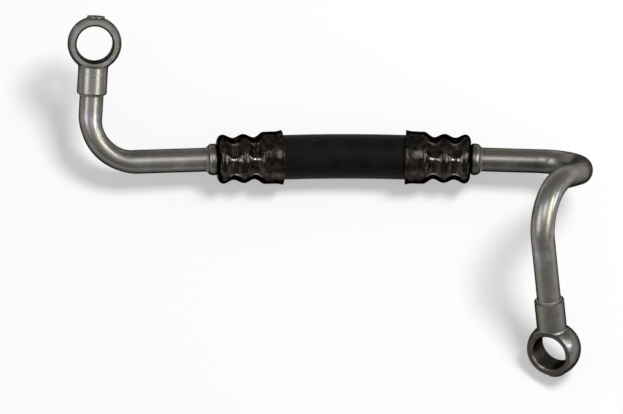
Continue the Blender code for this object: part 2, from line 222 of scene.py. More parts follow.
def newMaterial(name, metallic, roughness):
    material = bpy.data.materials.new(name)
    material.use_nodes = True
    shader = material.node_tree.nodes["Principled BSDF"]
    shader.inputs["Metallic"].default_value = metallic
    shader.inputs["Roughness"].default_value = roughness
    return material, shader


def setRamp(node, stops):
    ramp = node.color_ramp
    while len(ramp.elements) < len(stops):
        ramp.elements.new(0.5)
    for element, (position, hexColour) in zip(ramp.elements, stops):
        element.position = position
        element.color = linear(hexColour)


# Zinc plated steel, passivated: a soft dull metal, grey with faint olive and purple clouds, and
# straw, brown and blue rings of heat beside the brazed joints
zinc = {
    "clouds": ((0.34, "#a09f9f"), (0.46, "#97968a"), (0.56, "#9d9694"), (0.68, "#b0afb1")),
    "cloudSize": 6.0,
    "grainSize": 0.45,  # zinc grain is finer than this; it is drawn coarse enough to show
    "grainTone": (0.9, 1.06),
    "tone": {"pipe": 0.92, "stem": 0.88, "head": 0.88},
    "heat": ((0.0, "#a09f9f"), (0.25, "#a09a80"), (0.45, "#86695e"), (0.68, "#7a7594"),
             (0.88, "#9094a4")),
    "heatShown": (0.02, 0.35, 0.85),  # the least heat that shows, where it shows most, and how much
    "metallic": 1.0,
    "roughness": {"drawn": 0.34, "turned": 0.33},
    "roughnessSpread": (-0.06, 0.08),
    "lineSpacing": {"drawn": 0.35, "turned": 0.3},
    "lineDepth": {"drawn": 0.03, "turned": 0.008},
    "lineSqueeze": 0.02,  # how short the pattern is along a line, to draw it as a line
    "lineStrength": 0.35,
    "shadeReach": 80.0,  # in mm, how near the things are that shade a place, where the colour is darkened as painted shade
    "shade": (0.66, 0.98, 0.18),  # how open the darkest and the brightest places of the painted shade are, and how dark it gets
    "edgeTint": "#2a2926",
}

# Painted shade in bore A and on the flat faces of head B, and a darker ring at bore A's edge: how far from
# a bore's axis, in mm, and the tint that darkens the colour there
paintedBoreShade = {
    "a": ((6.0, "#8a7d72"), (6.45, "#857d74"), (6.75, "#ffffff"), (8.0, "#ffffff")),
    "b": ((6.0, "#ffffff"), (6.1, "#ffffff"), (6.6, "#bdb5ac"), (7.85, "#b0a8a0"), (8.0, "#ffffff")),
}


def zincPlated(name, made, tone, boreShade=None):
    roughness = zinc["roughness"][made]
    least, most = zinc["roughnessSpread"]
    darkGrain, paleGrain = zinc["grainTone"]
    material, shader = newMaterial(name, zinc["metallic"], roughness)
    links = material.node_tree.links
    straight = addNode(material, "ShaderNodeAttribute", attribute_name="straight").outputs["Vector"]
    heat = addNode(material, "ShaderNodeAttribute", attribute_name="heat").outputs["Fac"]
    clouds = addNode(material, "ShaderNodeTexNoise",
                     {"Vector": straight, "Scale": 1 / zinc["cloudSize"], "Detail": 3.0, "Roughness": 0.55})
    colour = addNode(material, "ShaderNodeValToRGB", {"Fac": clouds.outputs["Fac"]})
    setRamp(colour, zinc["clouds"])
    grain = addNode(material, "ShaderNodeTexNoise",
                    {"Vector": straight, "Scale": 1 / zinc["grainSize"], "Detail": 2.0})
    grainShade = addNode(material, "ShaderNodeMapRange",
                         {"Value": grain.outputs["Fac"], "From Min": 0.3, "From Max": 0.7,
                          "To Min": tone * darkGrain, "To Max": tone * paleGrain})
    toned = addNode(material, "ShaderNodeVectorMath",
                    {0: colour.outputs["Color"], "Scale": grainShade.outputs["Result"]}, operation="SCALE")
    # Painted shade: the colour is darkened where nearby things close a place in, so sides near the floor,
    # undersides and hollows come out darker
    deep, clear, darkest = zinc["shade"]
    openness = addNode(material, "ShaderNodeAmbientOcclusion", {"Distance": zinc["shadeReach"] * mm},
                       samples=6)
    paintedShade = addNode(material, "ShaderNodeMapRange",
                       {"Value": openness.outputs["AO"], "From Min": deep, "From Max": clear,
                        "To Min": darkest, "To Max": 1.0})
    heatRamp = addNode(material, "ShaderNodeValToRGB", {"Fac": heat})
    setRamp(heatRamp, zinc["heat"])
    faint, full, cover = zinc["heatShown"]
    heatShare = addNode(material, "ShaderNodeMapRange",
                        {"Value": heat, "From Min": faint, "From Max": full,
                         "To Min": 0.0, "To Max": cover})
    heated = addNode(material, "ShaderNodeMix",
                     {"Factor": heatShare.outputs["Result"], 6: toned.outputs["Vector"],
                      7: heatRamp.outputs["Color"]}, data_type="RGBA")
    shadedPlating = addNode(material, "ShaderNodeVectorMath",
                     {0: heated.outputs[2], "Scale": paintedShade.outputs["Result"]}, operation="SCALE")
    plated = shadedPlating.outputs["Vector"]
    # Painted shade round a bore: the colour is darkened by how far a place is from the bore's axis
    if boreShade:
        # A bore runs along X of the straight place
        nearest, farthest = boreShade[0][0], boreShade[-1][0]
        across = addNode(material, "ShaderNodeVectorMath", {0: straight, 1: (0.0, 1.0, 1.0)},
                         operation="MULTIPLY")
        fromBore = addNode(material, "ShaderNodeVectorMath", {0: across.outputs["Vector"]},
                           operation="LENGTH")
        place = addNode(material, "ShaderNodeMapRange",
                        {"Value": fromBore.outputs["Value"], "From Min": nearest, "From Max": farthest,
                         "To Min": 0.0, "To Max": 1.0})
        tint = addNode(material, "ShaderNodeValToRGB", {"Fac": place.outputs["Result"]})
        setRamp(tint, [((radius - nearest) / (farthest - nearest), hexColour)
                       for radius, hexColour in boreShade])
        boreShaded = addNode(material, "ShaderNodeVectorMath", {0: plated, 1: tint.outputs["Color"]},
                          operation="MULTIPLY")
        plated = boreShaded.outputs["Vector"]
    links.new(plated, shader.inputs["Base Color"])

    # Drawn pipe carries fine lines along it, and turned steel carries them round it
    squeeze = zinc["lineSqueeze"]
    squeezes = (1.0, 1.0, squeeze) if made == "drawn" else (squeeze, squeeze, 1.0)
    squeezed = addNode(material, "ShaderNodeVectorMath", {0: straight, 1: squeezes}, operation="MULTIPLY")
    lines = addNode(material, "ShaderNodeTexNoise",
                    {"Vector": squeezed.outputs["Vector"], "Scale": 1 / zinc["lineSpacing"][made],
                     "Detail": 2.0})
    rough = addNode(material, "ShaderNodeMapRange",
                    {"Value": lines.outputs["Fac"], "From Min": 0.3, "From Max": 0.7,
                     "To Min": roughness + least, "To Max": roughness + most})
    links.new(rough.outputs["Result"], shader.inputs["Roughness"])
    height = addNode(material, "ShaderNodeMath",
                     {0: lines.outputs["Fac"], 1: grain.outputs["Fac"]}, operation="ADD")
    bump = addNode(material, "ShaderNodeBump",
                   {"Height": height.outputs["Value"], "Strength": zinc["lineStrength"],
                    "Distance": zinc["lineDepth"][made] * mm})
    links.new(bump.outputs["Normal"], shader.inputs["Normal"])
    shader.inputs["Specular Tint"].default_value = linear(zinc["edgeTint"])
    return material


pipeFinish = zincPlated("zincPlatedDrawnSteel", "drawn", zinc["tone"]["pipe"])
stemFinish = zincPlated("zincPlatedTurnedSteel", "turned", zinc["tone"]["stem"])
# The two heads' finishes differ only in their painted bore shade
headFinishes = {end: zincPlated("zincPlatedBanjoSteel" + end.upper(), "turned", zinc["tone"]["head"],
                                paintedBoreShade[end]) for end in "ab"}


# Black passivated steel: glossy and almost black, with a brown cast and small hard highlights, and
# rubbed bright in short lines where the metal was pinched up between two dies
blackSteel = {
    "haze": ((0.42, "#2c2826"), (0.72, "#554e49")),
    "hazeSize": 1.8,
    "peelSize": 1.3,  # the coating's ripple
    "peelDepth": 0.11,
    "peelStrength": 0.6,
    "rubbed": "#aaa7a2",
    "rubSize": 1.0,
    "rubEdge": (0.40, 0.52),
    "metallic": 1.0,
    "roughness": 0.17,
    "roughnessSpread": (-0.03, 0.1),
    "edgeTint": "#33302e",
}


def blackPassivated():
    material, shader = newMaterial("blackPassivatedSteel", blackSteel["metallic"], blackSteel["roughness"])
    links = material.node_tree.links
    straight = addNode(material, "ShaderNodeAttribute", attribute_name="straight").outputs["Vector"]
    haze = addNode(material, "ShaderNodeTexNoise",
                   {"Vector": straight, "Scale": 1 / blackSteel["hazeSize"], "Detail": 4.0,
                    "Roughness": 0.6})
    colour = addNode(material, "ShaderNodeValToRGB", {"Fac": haze.outputs["Fac"]})
    setRamp(colour, blackSteel["haze"])
    pinch = addNode(material, "ShaderNodeAttribute", attribute_name="pinch").outputs["Fac"]
    flecks = addNode(material, "ShaderNodeTexNoise",
                     {"Vector": straight, "Scale": 1 / blackSteel["rubSize"], "Detail": 3.0})
    bare, worn = blackSteel["rubEdge"]
    fleck = addNode(material, "ShaderNodeMapRange",
                    {"Value": flecks.outputs["Fac"], "From Min": bare, "From Max": worn,
                     "To Min": 0.0, "To Max": 1.0})
    rub = addNode(material, "ShaderNodeMath", {0: pinch, 1: fleck.outputs["Result"]}, operation="MULTIPLY")
    rubbed = addNode(material, "ShaderNodeMix",
                     {"Factor": rub.outputs["Value"], 6: colour.outputs["Color"],
                      7: linear(blackSteel["rubbed"])}, data_type="RGBA")
    links.new(rubbed.outputs[2], shader.inputs["Base Color"])
    least, most = blackSteel["roughnessSpread"]
    rough = addNode(material, "ShaderNodeMapRange",
                    {"Value": haze.outputs["Fac"], "From Min": 0.35, "From Max": 0.7,
                     "To Min": blackSteel["roughness"] + least, "To Max": blackSteel["roughness"] + most})
    links.new(rough.outputs["Result"], shader.inputs["Roughness"])
    peel = addNode(material, "ShaderNodeTexNoise",
                   {"Vector": straight, "Scale": 1 / blackSteel["peelSize"], "Detail": 2.0})
    bump = addNode(material, "ShaderNodeBump",
                   {"Height": peel.outputs["Fac"], "Strength": blackSteel["peelStrength"],
                    "Distance": blackSteel["peelDepth"] * mm})
    links.new(bump.outputs["Normal"], shader.inputs["Normal"])
    shader.inputs["Specular Tint"].default_value = linear(blackSteel["edgeTint"])
    return material


ferruleFinish = blackPassivated()


# Extruded rubber cover, cured in a cloth wrap: matt black with a faint fine texture and a few scuffs
rubber = {
    "cover": ((0.35, "#0e0e0d"), (0.7, "#171716")),
    "liner": ((0.35, "#121211"), (0.7, "#191918")),
    "bloomSize": 5.0,
    "wrapSpacing": 0.5,  # the cloth's print is finer than this; it is drawn coarse enough to show
    "wrapDepth": 0.05,
    "wrapStrength": 0.4,
    "scuff": "#4b4945",
    "scuffsPerMm": 0.9,
    "scuffSqueeze": 0.18,  # how short the pattern is along the hose, to draw long scuffs
    "scuffEdge": (0.66, 0.76, 0.6),  # where a scuff starts and is full, and how much it covers
    "roughness": 0.55,
    "roughnessSpread": (-0.06, 0.08),
    "gloss": 0.06,
}


def extrudedRubber(name, bloom):
    material, shader = newMaterial(name, 0.0, rubber["roughness"])
    links = material.node_tree.links
    straight = addNode(material, "ShaderNodeAttribute", attribute_name="straight").outputs["Vector"]
    clouds = addNode(material, "ShaderNodeTexNoise",
                     {"Vector": straight, "Scale": 1 / rubber["bloomSize"], "Detail": 4.0})
    tone = addNode(material, "ShaderNodeValToRGB", {"Fac": clouds.outputs["Fac"]})
    setRamp(tone, bloom)
    squeezed = addNode(material, "ShaderNodeVectorMath",
                       {0: straight, 1: (1.0, 1.0, rubber["scuffSqueeze"])}, operation="MULTIPLY")
    scuffs = addNode(material, "ShaderNodeTexNoise",
                     {"Vector": squeezed.outputs["Vector"], "Scale": rubber["scuffsPerMm"], "Detail": 5.0,
                      "Roughness": 0.65})
    faint, full, cover = rubber["scuffEdge"]
    scuffShare = addNode(material, "ShaderNodeMapRange",
                         {"Value": scuffs.outputs["Fac"], "From Min": faint, "From Max": full,
                          "To Min": 0.0, "To Max": cover})
    scuffed = addNode(material, "ShaderNodeMix",
                      {"Factor": scuffShare.outputs["Result"], 6: tone.outputs["Color"],
                       7: linear(rubber["scuff"])}, data_type="RGBA")
    links.new(scuffed.outputs[2], shader.inputs["Base Color"])
    least, most = rubber["roughnessSpread"]
    rough = addNode(material, "ShaderNodeMapRange",
                    {"Value": clouds.outputs["Fac"], "From Min": 0.3, "From Max": 0.7,
                     "To Min": rubber["roughness"] + least, "To Max": rubber["roughness"] + most})
    links.new(rough.outputs["Result"], shader.inputs["Roughness"])
    wrap = addNode(material, "ShaderNodeTexNoise",
                   {"Vector": straight, "Scale": 1 / rubber["wrapSpacing"], "Detail": 2.0})
    bump = addNode(material, "ShaderNodeBump",
                   {"Height": wrap.outputs["Fac"], "Strength": rubber["wrapStrength"],
                    "Distance": rubber["wrapDepth"] * mm})
    links.new(bump.outputs["Normal"], shader.inputs["Normal"])
    shader.inputs["Specular IOR Level"].default_value = rubber["gloss"]
    return material


coverFinish = extrudedRubber("extrudedRubberCover", rubber["cover"])
linerFinish = extrudedRubber("extrudedRubberLiner", rubber["liner"])


# Silver braze filler: a thin dull grey bead with a brown cast from its flux
filler = {
    "colours": ((0.3, "#716e67"), (0.5, "#7d7970"), (0.72, "#5f5a54")),
    "clotSize": 1.1,
    "clotDepth": 0.12,
    "clotStrength": 0.5,
    "metallic": 1.0,
    "roughness": 0.55,
}


def brazeFiller():
    material, shader = newMaterial("silverBrazeFiller", filler["metallic"], filler["roughness"])
    links = material.node_tree.links
    straight = addNode(material, "ShaderNodeAttribute", attribute_name="straight").outputs["Vector"]
    clots = addNode(material, "ShaderNodeTexNoise",
                    {"Vector": straight, "Scale": 1 / filler["clotSize"], "Detail": 3.0})
    colour = addNode(material, "ShaderNodeValToRGB", {"Fac": clots.outputs["Fac"]})
    setRamp(colour, filler["colours"])
    links.new(colour.outputs["Color"], shader.inputs["Base Color"])
    bump = addNode(material, "ShaderNodeBump",
                   {"Height": clots.outputs["Fac"], "Strength": filler["clotStrength"],
                    "Distance": filler["clotDepth"] * mm})
    links.new(bump.outputs["Normal"], shader.inputs["Normal"])
    return material


brazeFinish = brazeFiller()


# Drawn steel braid wire, laid in a crossing pattern: bright lines with dark gaps between the strands
braidWire = {
    "strands": ((0.35, "#3b3936"), (0.7, "#b4b1aa")),
    "strandWidth": 0.9,
    "slant": 54,  # each way
    "waveLength": 0.314,  # of the wave texture at scale 1
    "metallic": 1.0,
    "roughness": 0.34,
}


def wireBraid():
    material, shader = newMaterial("steelWireBraid", braidWire["metallic"], braidWire["roughness"])
    links = material.node_tree.links
    place = addNode(material, "ShaderNodeTexCoord").outputs["Object"]
    scaled = addNode(material, "ShaderNodeVectorMath", {0: place, "Scale": 1 / mm}, operation="SCALE")
    strands = []
    for way in (1, -1):
        turn = (0, way * math.radians(braidWire["slant"]), 0)
        slanted = addNode(material, "ShaderNodeMapping",
                          {"Vector": scaled.outputs["Vector"], "Rotation": turn})
        strand = addNode(material, "ShaderNodeTexWave",
                         {"Vector": slanted.outputs["Vector"],
                          "Scale": braidWire["waveLength"] / braidWire["strandWidth"]},
                         bands_direction="X")
        strands.append(strand.outputs["Fac"])
    crossed = addNode(material, "ShaderNodeMath", {0: strands[0], 1: strands[1]}, operation="MAXIMUM")
    colour = addNode(material, "ShaderNodeValToRGB", {"Fac": crossed.outputs["Value"]})
    setRamp(colour, braidWire["strands"])
    links.new(colour.outputs["Color"], shader.inputs["Base Color"])
    return material


braidFinish = wireBraid()
print("finishes made")


def keepShare(mesh, name, share):
    # share gives, from 0 to 1, how much heat or rubbing there is at a straight place
    layer = mesh.attributes.new(name, "FLOAT", "POINT")
    straight = mesh.attributes["straight"].data
    layer.data.foreach_set("value", [share(point.vector) for point in straight])


def fade(distance, reach):
    return math.exp(-max(0.0, distance) / reach)


# Ferrule, measured from its lip, squeezed on by eight dies in two rows
ferrule = {
    "length": 21.85,
    "wall": 1.05,
    "endWall": 1.55,
    "bodyD": 17.5,
    "lipD": 18.3,
    "lipEdge": 0.2,
    "lipEdgeRound": 0.06,
    "lipFoot": 2.6,  # where the flared lip meets the body
    "lipCurve": 1.8,  # 1 makes the flare a straight cone, and more bells it out
    "landD": 16.44,
    "crimpD": 14.1,
    "crimpPitch": 7.0,
    "firstCrimp": 9.45,
    "dies": 8,
    "padDepth": 0.5,
    "dieTurn": 22.5,
    "ridgeRound": 0.16,
    "pinchWidth": 0.4,  # of the line that is rubbed bright on a ridge
    "endRound": 2.7,
    "endSteps": 12,
    "holeD": 10.3,
    "sides": 192,
    "heightStep": 0.2,
    "boreEvery": 3,  # the bore is hidden and has one ring to so many of the outside
}
crimpStart = ferrule["firstCrimp"] - ferrule["crimpPitch"] / 2
crimpEnd = crimpStart + ferrule["crimpPitch"] * 2


def crimpShare(height):
    # 0 on a land, 1 in the middle of a crimp
    inCrimp = min(max(height, crimpStart), crimpEnd) - crimpStart
    return (1 - math.cos(2 * math.pi * inCrimp / ferrule["crimpPitch"])) / 2


def ferruleRadius(height):
    top = (ferrule["bodyD"] if height < ferrule["firstCrimp"] else ferrule["landD"]) / 2
    radius = top + (ferrule["crimpD"] / 2 - top) * crimpShare(height)
    if height < ferrule["lipFoot"]:
        rise = (ferrule["lipFoot"] - height) / (ferrule["lipFoot"] - ferrule["lipEdge"])
        radius += (ferrule["lipD"] - ferrule["bodyD"]) / 2 * min(1.0, rise) ** ferrule["lipCurve"]
    return radius


def ferruleBore(height):
    # The same metal on a smaller round makes a thicker wall
    top = ferrule["bodyD"] if height < ferrule["firstCrimp"] else ferrule["landD"]
    radius = (top + (ferrule["crimpD"] - top) * crimpShare(height)) / 2
    return radius - ferrule["wall"] * ferrule["bodyD"] / 2 / radius


def softMin(a, b, blend):
    near = max(blend - abs(a - b), 0) / blend
    return min(a, b) - near * near * blend / 4


def pressed(radius, height, angle):
    # Each die leaves a flat across the crimp, and the metal between two dies stays up as a ridge
    share = crimpShare(height)
    if abs(radius - ferruleRadius(height)) > ferrule["wall"] / 4 or share == 0:
        return radius
    dieAngle = 2 * math.pi / ferrule["dies"]
    fromPad = (angle - math.radians(ferrule["dieTurn"])) % dieAngle - dieAngle / 2
    flat = (radius - ferrule["padDepth"] * share) / math.cos(fromPad)
    return softMin(radius, flat, ferrule["ridgeRound"])


def pinched(point):
    # 1 along the ridge between two dies in the middle of a crimp, and 0 away from it
    dieAngle = 2 * math.pi / ferrule["dies"]
    fromTurn = math.atan2(point.y, point.x) - math.radians(ferrule["dieTurn"])
    off = abs((fromTurn + dieAngle / 2) % dieAngle - dieAngle / 2) * point.xy.length
    return crimpShare(point.z) ** 2 * math.exp(-(off / ferrule["pinchWidth"]) ** 2)


def makeFerrule(end):
    endRadius = ferrule["landD"] / 2 - ferrule["endRound"]
    outer = [(endRadius, ferrule["length"])]
    for step in range(1, ferrule["endSteps"]):
        angle = math.pi / 2 * step / ferrule["endSteps"]
        outer.append((endRadius + ferrule["endRound"] * math.sin(angle),
                      crimpEnd + (ferrule["length"] - crimpEnd) * math.cos(angle)))
    edge = ferrule["lipEdge"]
    steps = round((crimpEnd - edge) / ferrule["heightStep"])
    heights = [edge + (crimpEnd - edge) * step / steps for step in range(steps + 1)]
    outer += [(ferruleRadius(height), height) for height in reversed(heights)]
    outer += [(ferrule["lipD"] / 2 - ferrule["lipEdgeRound"], ferrule["lipEdgeRound"]),
              (ferrule["lipD"] / 2 - edge, 0.0)]
    inside = ferrule["length"] - ferrule["endWall"]
    hole = ferrule["holeD"] / 2
    inner = [(ferruleBore(0), 0.0)]
    inner += [(ferruleBore(height), height) for height in heights[::ferrule["boreEvery"]]]
    inner += [(ferruleBore(crimpEnd), inside), (hole, inside), (hole, ferrule["length"])]
    piece = turned("ferrule" + end.upper(), outer + inner, ferrule["sides"], closed=True, shaped=pressed)
    keepShare(piece.data, "pinch", pinched)
    return piece


# Banjo head, with the middle of its bore at the origin, its neck down -Z and its bore along X
banjo = {
    "ballD": 18.0,
    "bore": 12.0,
    "width": 8.6,
    "facingD": 15.9,
    "boreChamfer": 0.5,
    "neckD": 10.0,
    "neckReach": {"a": 17.0, "b": 18.2},
    "neckChamfer": 0.4,
    "neckFillet": 1.2,
    "socketD": 8.5,
    "socketDepth": 8.0,
    "oilwayD": 5.0,
    "nubD": 5.9,
    "nubHeight": 0.15,
    "nubEdge": 0.1,
    "sides": 160,
    "ballSteps": 48,
    "filletSteps": 10,
    "neckSteps": 12,
    "heat": {"a": 0.7, "b": 0.5},  # at the rim of the neck
    "heatReach": 1.6,
}


def makeBanjo(end):
    ball = banjo["ballD"] / 2
    nub = banjo["nubD"] / 2
    neck = banjo["neckD"] / 2
    fillet = banjo["neckFillet"]
    reach = banjo["neckReach"][end]
    socket = banjo["socketD"] / 2
    oilway = banjo["oilwayD"] / 2
    edge = banjo["nubEdge"]
    top = ball + banjo["nubHeight"]
    profile = [(0, top), (nub / 2, top), (nub - edge, top), (nub, top - edge)]
    first = math.asin(nub / ball)
    last = math.pi - math.asin((neck + fillet) / (ball + fillet))
    for step in range(banjo["ballSteps"] + 1):
        angle = first + (last - first) * step / banjo["ballSteps"]
        profile.append((ball * math.sin(angle), ball * math.cos(angle)))
    filletHeight = (ball + fillet) * math.cos(last)
    for step in range(1, banjo["filletSteps"] + 1):
        angle = last + (math.pi / 2 - last) * step / banjo["filletSteps"]
        profile.append((neck + fillet - fillet * math.sin(angle), filletHeight - fillet * math.cos(angle)))
    rim = banjo["neckChamfer"] - reach
    for step in range(1, banjo["neckSteps"] + 1):
        profile.append((neck, filletHeight + (rim - filletHeight) * step / banjo["neckSteps"]))
    socketEnd = banjo["socketDepth"] - reach
    oilwayEnd = -banjo["bore"] / 4  # inside the bore, which is cut next
    profile += [(neck - banjo["neckChamfer"], -reach), (socket, -reach), (socket, socketEnd),
                (oilway, socketEnd), (oilway, oilwayEnd), (0, oilwayEnd)]
    head = turned("banjo" + end.upper(), profile, banjo["sides"])

    face = banjo["width"] / 2
    bore = banjo["bore"] / 2
    facing = banjo["facingD"] / 2
    chamfer = banjo["boreChamfer"]
    clear = ball * 2  # well outside the head
    half = [(0, clear), (facing, clear), (facing, face), (bore + chamfer, face), (bore, face - chamfer)]
    cutter = turned("facingCutter", half + [(radius, -height) for radius, height in reversed(half)],
                    banjo["sides"])
    cutter.matrix_world = Matrix.Rotation(math.radians(90), 4, "Y")
    cut = head.modifiers.new("facing", "BOOLEAN")
    cut.operation = "DIFFERENCE"
    cut.solver = "EXACT"
    cut.object = cutter
    bpy.context.view_layer.update()
    head.data = bpy.data.meshes.new_from_object(head.evaluated_get(bpy.context.evaluated_depsgraph_get()))
    head.modifiers.clear()
    bpy.data.objects.remove(cutter)
    keepStraight(head.data, [vertex.co / mm for vertex in head.data.vertices])
    keepShare(head.data, "heat",
              lambda point: fade(point.z + reach, banjo["heatReach"]) * banjo["heat"][end])
    return head


# Stem with its collar and barbs, measured from the ferrule's lip
stem = {
    "collarD": 10.6,
    "collarFoot": 21.9,
    "collarRound": (1.9, 1.3),  # along the stem and across it
    "footRound": 0.8,
    "roundSteps": 10,
    "neckD": 9.8,
    "shoulderD": 11.4,
    "shoulderTop": 20.0,
    "shoulderFoot": 19.0,
    "socketD": 8.5,
    "socketDepth": 5.0,
    "bore": 4.2,
    "tailEnd": 2.0,
    "crestD": 5.9,
    "barbs": 4,
    "barbPitch": 4.0,
    "barbDepth": 0.35,
    "heat": 0.25,
    "sides": 96,
}


def makeStem(end):
    collar = stem["collarD"] / 2
    socket = stem["socketD"] / 2
    crest = stem["crestD"] / 2
    root = crest - stem["barbDepth"]
    shoulder = stem["shoulderD"] / 2
    neck = stem["neckD"] / 2
    bore = stem["bore"] / 2
    along, across = stem["collarRound"]
    foot = stem["footRound"]
    collarTop = route["collarTop"]
    angles = [math.pi / 2 * step / stem["roundSteps"] for step in range(stem["roundSteps"] + 1)]
    profile = [(collar - across * (1 - math.sin(angle)), collarTop - along * (1 - math.cos(angle)))
               for angle in angles]
    profile += [(collar - foot * (1 - math.cos(angle)), stem["collarFoot"] + foot * (1 - math.sin(angle)))
                for angle in angles]
    profile += [(neck, stem["collarFoot"]), (neck, stem["shoulderTop"]), (shoulder, stem["shoulderTop"]),
                (shoulder, stem["shoulderFoot"]), (root, stem["shoulderFoot"])]
    for barb in reversed(range(stem["barbs"])):
        barbTop = stem["tailEnd"] + stem["barbPitch"] * (barb + 1)
        profile += [(root, barbTop - stem["barbDepth"]), (crest, barbTop - stem["barbDepth"] * 2)]
    socketEnd = collarTop - stem["socketDepth"]
    profile += [(root, stem["tailEnd"]), (bore, stem["tailEnd"]), (bore, socketEnd), (socket, socketEnd),
                (socket, collarTop)]
    piece = turned("stem" + end.upper(), profile, stem["sides"], closed=True)
    keepShare(piece.data, "heat", lambda point: stem["heat"])
    return piece


# Pipe: 8 mm outside, flattened a little in its bends
pipe = {
    "d": 8.0,
    "wall": 1.2,
    "flattening": 0.09,
    "widening": 0.035,
    "inSocket": 4.7,  # how far it runs on into the stem's socket
    "headSocket": 8.9,  # from the middle of the banjo's bore to the end of the pipe
    "sides": 72,
    # Heat at the neck and at the collar: how much, how far it holds, and how far it fades
    "headHeat": {"a": (0.85, 6.0, 8.0), "b": (0.5, 8.0, 8.0)},
    "collarHeat": (0.55, 0.8, 1.6),
}


def makePipe(end):
    stations = pipes[end]
    start = advance(stations[0][0], -pipe["inSocket"])
    stop = advance(heads[end], -pipe["headSocket"])
    stopLength = (stations[-1][0].translation - stop.translation).length
    kept = [(at, oval) for at, oval in stations
            if oval > 0 or (at.translation - stations[-1][0].translation).length > stopLength]
    kept = [(start, 0.0)] + kept + [(stop, 0.0)]
    frames = [at for at, oval in kept]

    def oval(i, point):
        at, share = kept[i]
        local = at.inverted() @ point
        local.x *= 1 - pipe["flattening"] * share
        local.y *= 1 + pipe["widening"] * share
        return at @ local

    outside = [pipe["d"] / 2] * len(frames)
    bore = [pipe["d"] / 2 - pipe["wall"]] * len(frames)
    piece = tube("pipe" + end.upper(), frames, (outside, bore), pipe["sides"], oval)
    whole = max(point.vector.z for point in piece.data.attributes["straight"].data)
    rim = whole - (banjo["neckReach"][end] - pipe["headSocket"])
    headHeat, headHold, headReach = pipe["headHeat"][end]
    collarHeat, collarHold, collarReach = pipe["collarHeat"]

    def heat(point):
        atCollar = fade(point.z - pipe["inSocket"] - collarHold, collarReach) * collarHeat
        atNeck = fade(rim - point.z - headHold, headReach) * headHeat
        return max(atCollar, atNeck)

    keepShare(piece.data, "heat", heat)
    return piece


# Braze bead, from the rim at the origin out along the pipe, up +Z
bead = {
    "innerD": 8.04,
    "length": 0.6,
    "height": 0.32,
    "sunk": 0.3,  # below the rim
    "sunkShare": 0.9,  # how high it is there, of its height
    "steps": 8,
    "sides": 96,
    "waves": ((2, 0.10, 0.4), (3, 0.08, 2.1), (7, 0.05, 1.0)),  # how many round, how high, their start
    "waveShift": {"Banjo": 0.5, "Stem": 2.0},
}


def beadWave(angle):
    return 1 + sum(height * math.sin(count * angle + start) for count, height, start in bead["waves"])


def makeBead(joint, end):
    inner = bead["innerD"] / 2
    profile = []
    for step in range(bead["steps"] + 1):
        share = step / bead["steps"]
        profile.append((inner + bead["height"] * (1 - share) ** 2, bead["length"] * share * (2 - share)))
    profile += [(inner, -bead["sunk"]), (inner + bead["height"] * bead["sunkShare"], -bead["sunk"])]

    def uneven(radius, height, angle):
        return inner + (radius - inner) * beadWave(angle + bead["waveShift"][joint])

    return turned("braze" + joint + end.upper(), profile, bead["sides"], closed=True, shaped=uneven)


# Hose, three layers that end short of each stem's shoulder
hose = {
    "d": 14.9,
    "coverBoreD": 10.3,
    "fitGap": 0.25,
    "cutEnd": 18.6,
    "bowSteps": 32,
    "squeezeStep": 0.4,
    "sides": 128,
}


def makeCover():
    steps = round(hose["cutEnd"] / hose["squeezeStep"])
    heights = [hose["cutEnd"] * step / steps for step in range(1, steps + 1)]
    start = bend(hoseMiddle, -route["hoseBow"] / 2, bowRadius)
    stations = [(advance(start, -height), height) for height in reversed(heights)]
    for step in range(hose["bowSteps"] + 1):
        angle = route["hoseBow"] * (step / hose["bowSteps"] - 0.5)
        stations.append((bend(hoseMiddle, angle, bowRadius), 0.0))
    stations += [(advance(lips["b"], height), height) for height in heights]
    frames = [at for at, height in stations]
    outside = [min(hose["d"] / 2, ferruleBore(height) - hose["fitGap"]) for at, height in stations]
    bore = [hose["coverBoreD"] / 2] * len(frames)
    return tube("hoseCover", frames, (outside, bore), hose["sides"])


# How the line lies: on the lips of both ferrules and the edge of banjo head B's lower face
restRounds = 30  # it settles in far fewer


def lowestOnRim(centre, axis, radius, up):
    slope = up - axis * up.dot(axis)
    return centre - slope.normalized() * radius * mm


def restingUp(rims, above):
    points = [centre for centre, axis, radius in rims]
    for attempt in range(restRounds):
        up = (points[1] - points[0]).cross(points[2] - points[0]).normalized()
        if up.dot(above - points[0]) < 0:
            up.negate()
        points = [lowestOnRim(centre, axis, radius, up) for centre, axis, radius in rims]
    return up


def boxMiddle(corners):
    low = Vector([min(corner[axis] for corner in corners) for axis in range(3)])
    high = Vector([max(corner[axis] for corner in corners) for axis in range(3)])
    return (low + high) / 2


faceB = heads["b"] @ Matrix.Translation((-banjo["width"] / 2 * mm, 0, 0))
faceEdge = math.sqrt(banjo["ballD"] ** 2 - banjo["width"] ** 2) / 2
rims = [(lips[end].translation, lips[end].col[2].to_3d(), ferrule["lipD"] / 2) for end in "ab"]
rims.append((faceB.translation, faceB.col[0].to_3d(), faceEdge))
up = restingUp(rims, pipes["b"][len(pipes["b"]) // 2][0].translation)
along = lips["b"].translation - lips["a"].translation
along = (along - up * along.dot(up)).normalized()
laidDown = Matrix((along, up.cross(along), up)).to_4x4()

ferrules = {end: makeFerrule(end) for end in "ab"}
ownCorners = [laidDown @ lips[end] @ vertex.co for end in "ab" for vertex in ferrules[end].data.vertices]
cadCorners = [corner for end in "ab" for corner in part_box("ferrule_" + end)]
lie = Matrix.Translation(boxMiddle(cadCorners) - boxMiddle(ownCorners)) @ laidDown

